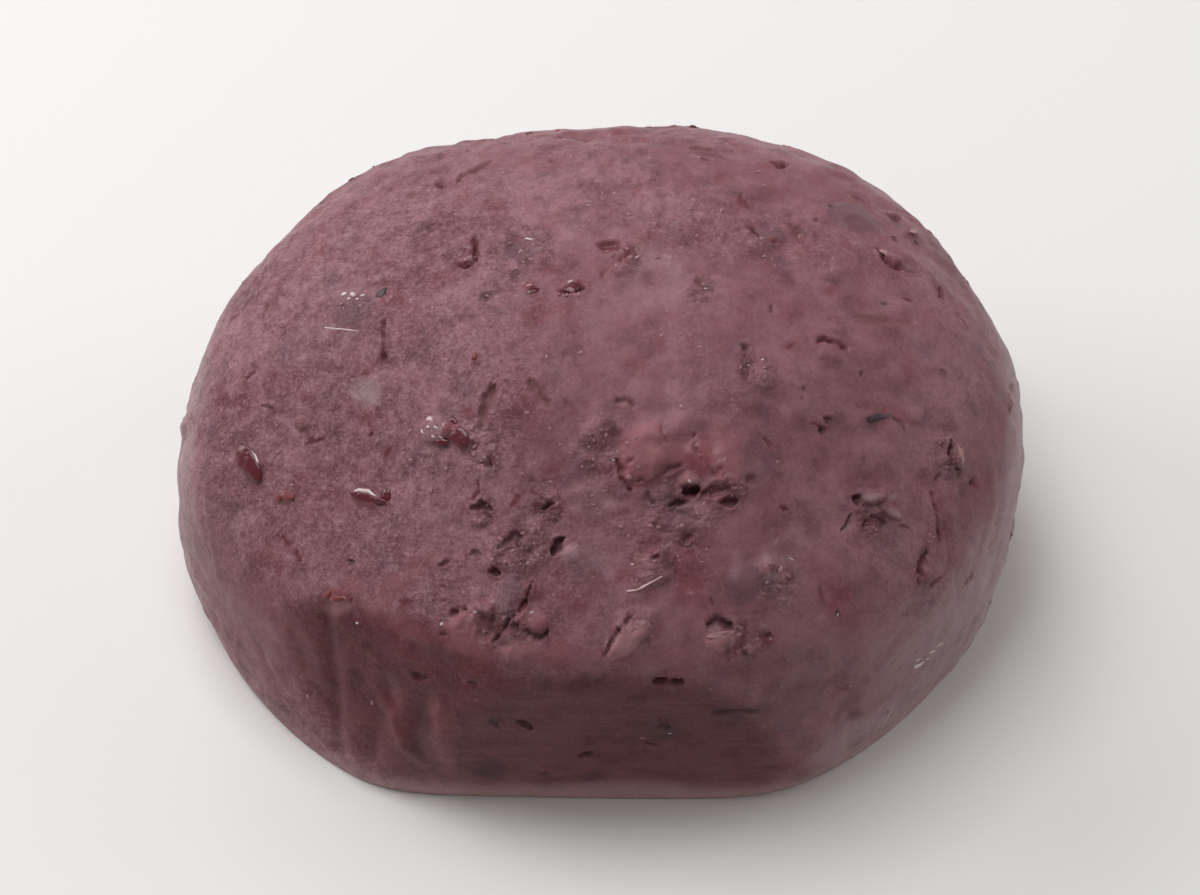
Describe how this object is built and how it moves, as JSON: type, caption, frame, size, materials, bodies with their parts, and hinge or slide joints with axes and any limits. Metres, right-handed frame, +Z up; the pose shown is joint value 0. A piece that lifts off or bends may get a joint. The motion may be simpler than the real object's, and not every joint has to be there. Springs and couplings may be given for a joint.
{
  "type": "red bean rice cake",
  "caption": "Small squat oval ohagi coated all round in coarse red-bean paste, with a soft domed top, pressed walls and a flat base.",
  "frame": {"origin": "on the base, under the middle of the cake's box", "axes": "+Z is up from the flat base to the dome, +X runs along the cake's length, and the flattest pressed wall faces -Y"},
  "size_m": [0.0604, 0.0476, 0.0283],
  "materials": {
    "bean_paste": "moist coarse bean paste, mauve-brown, satin with small wet glints and scattered darker bean skins"
  },
  "bodies": {
    "root": {"ohagi": "bean_paste"}
  },
  "joints": []
}
